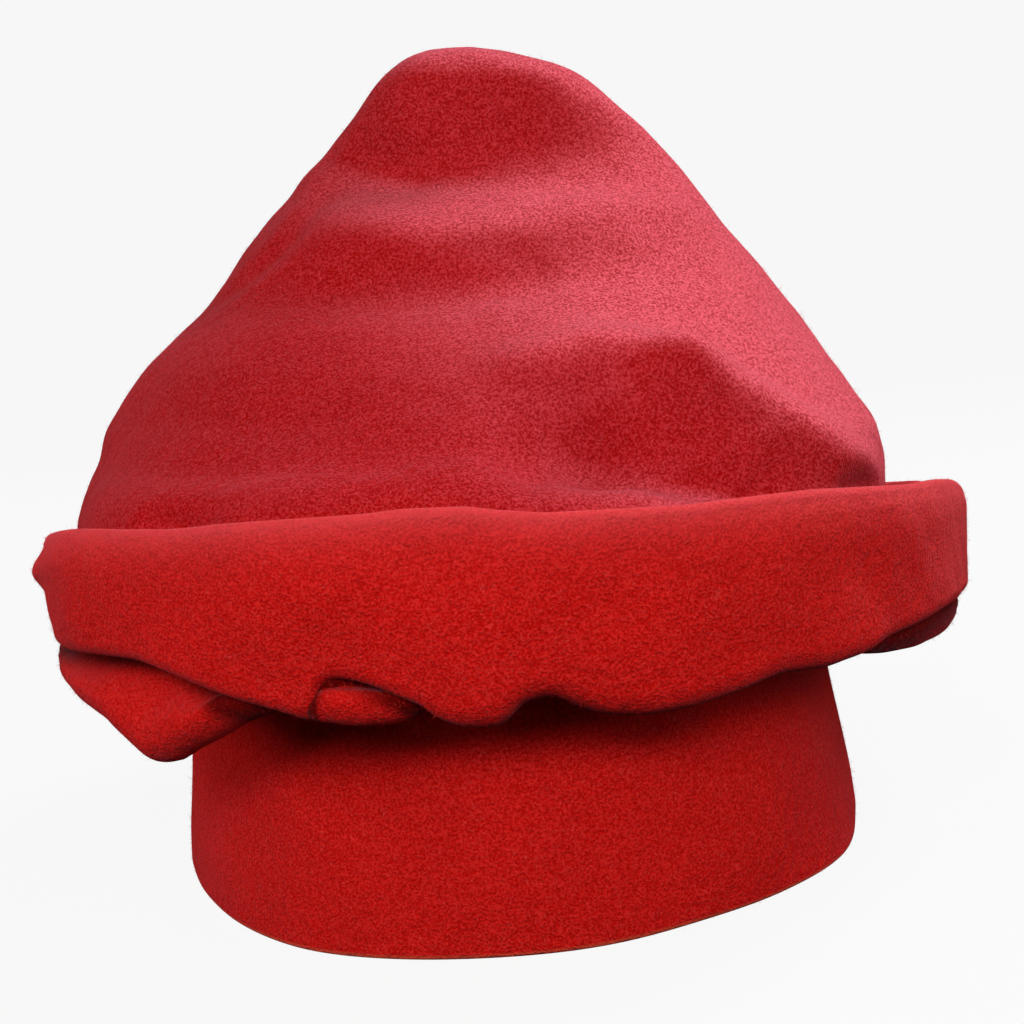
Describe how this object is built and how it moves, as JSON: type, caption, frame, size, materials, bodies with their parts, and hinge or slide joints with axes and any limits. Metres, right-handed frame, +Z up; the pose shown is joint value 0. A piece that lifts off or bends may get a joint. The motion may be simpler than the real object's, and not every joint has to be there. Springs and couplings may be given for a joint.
{
  "type": "felt hat",
  "caption": "Tall soft felt hat with a baggy peaked crown, a deep turned-up cuff and a smooth head band open at the rim.",
  "frame": {"origin": "middle of the footprint of the whole hat, at the level of the rim that it rests on", "axes": "+Z up out of the tip of the crown, -Y towards the front of the hat, +X to the right as seen from the front"},
  "size_m": [0.2284, 0.256, 0.195],
  "materials": {
    "red_felt_band": "dense wool felt, matt",
    "red_felt_crown": "dense wool felt, matt with a raised nap",
    "red_felt_cuff": "dense wool felt, matt with a raised nap"
  },
  "bodies": {
    "root": {"head_band": "red_felt_band", "crown": "red_felt_crown", "turned_cuff": "red_felt_cuff"}
  },
  "joints": []
}
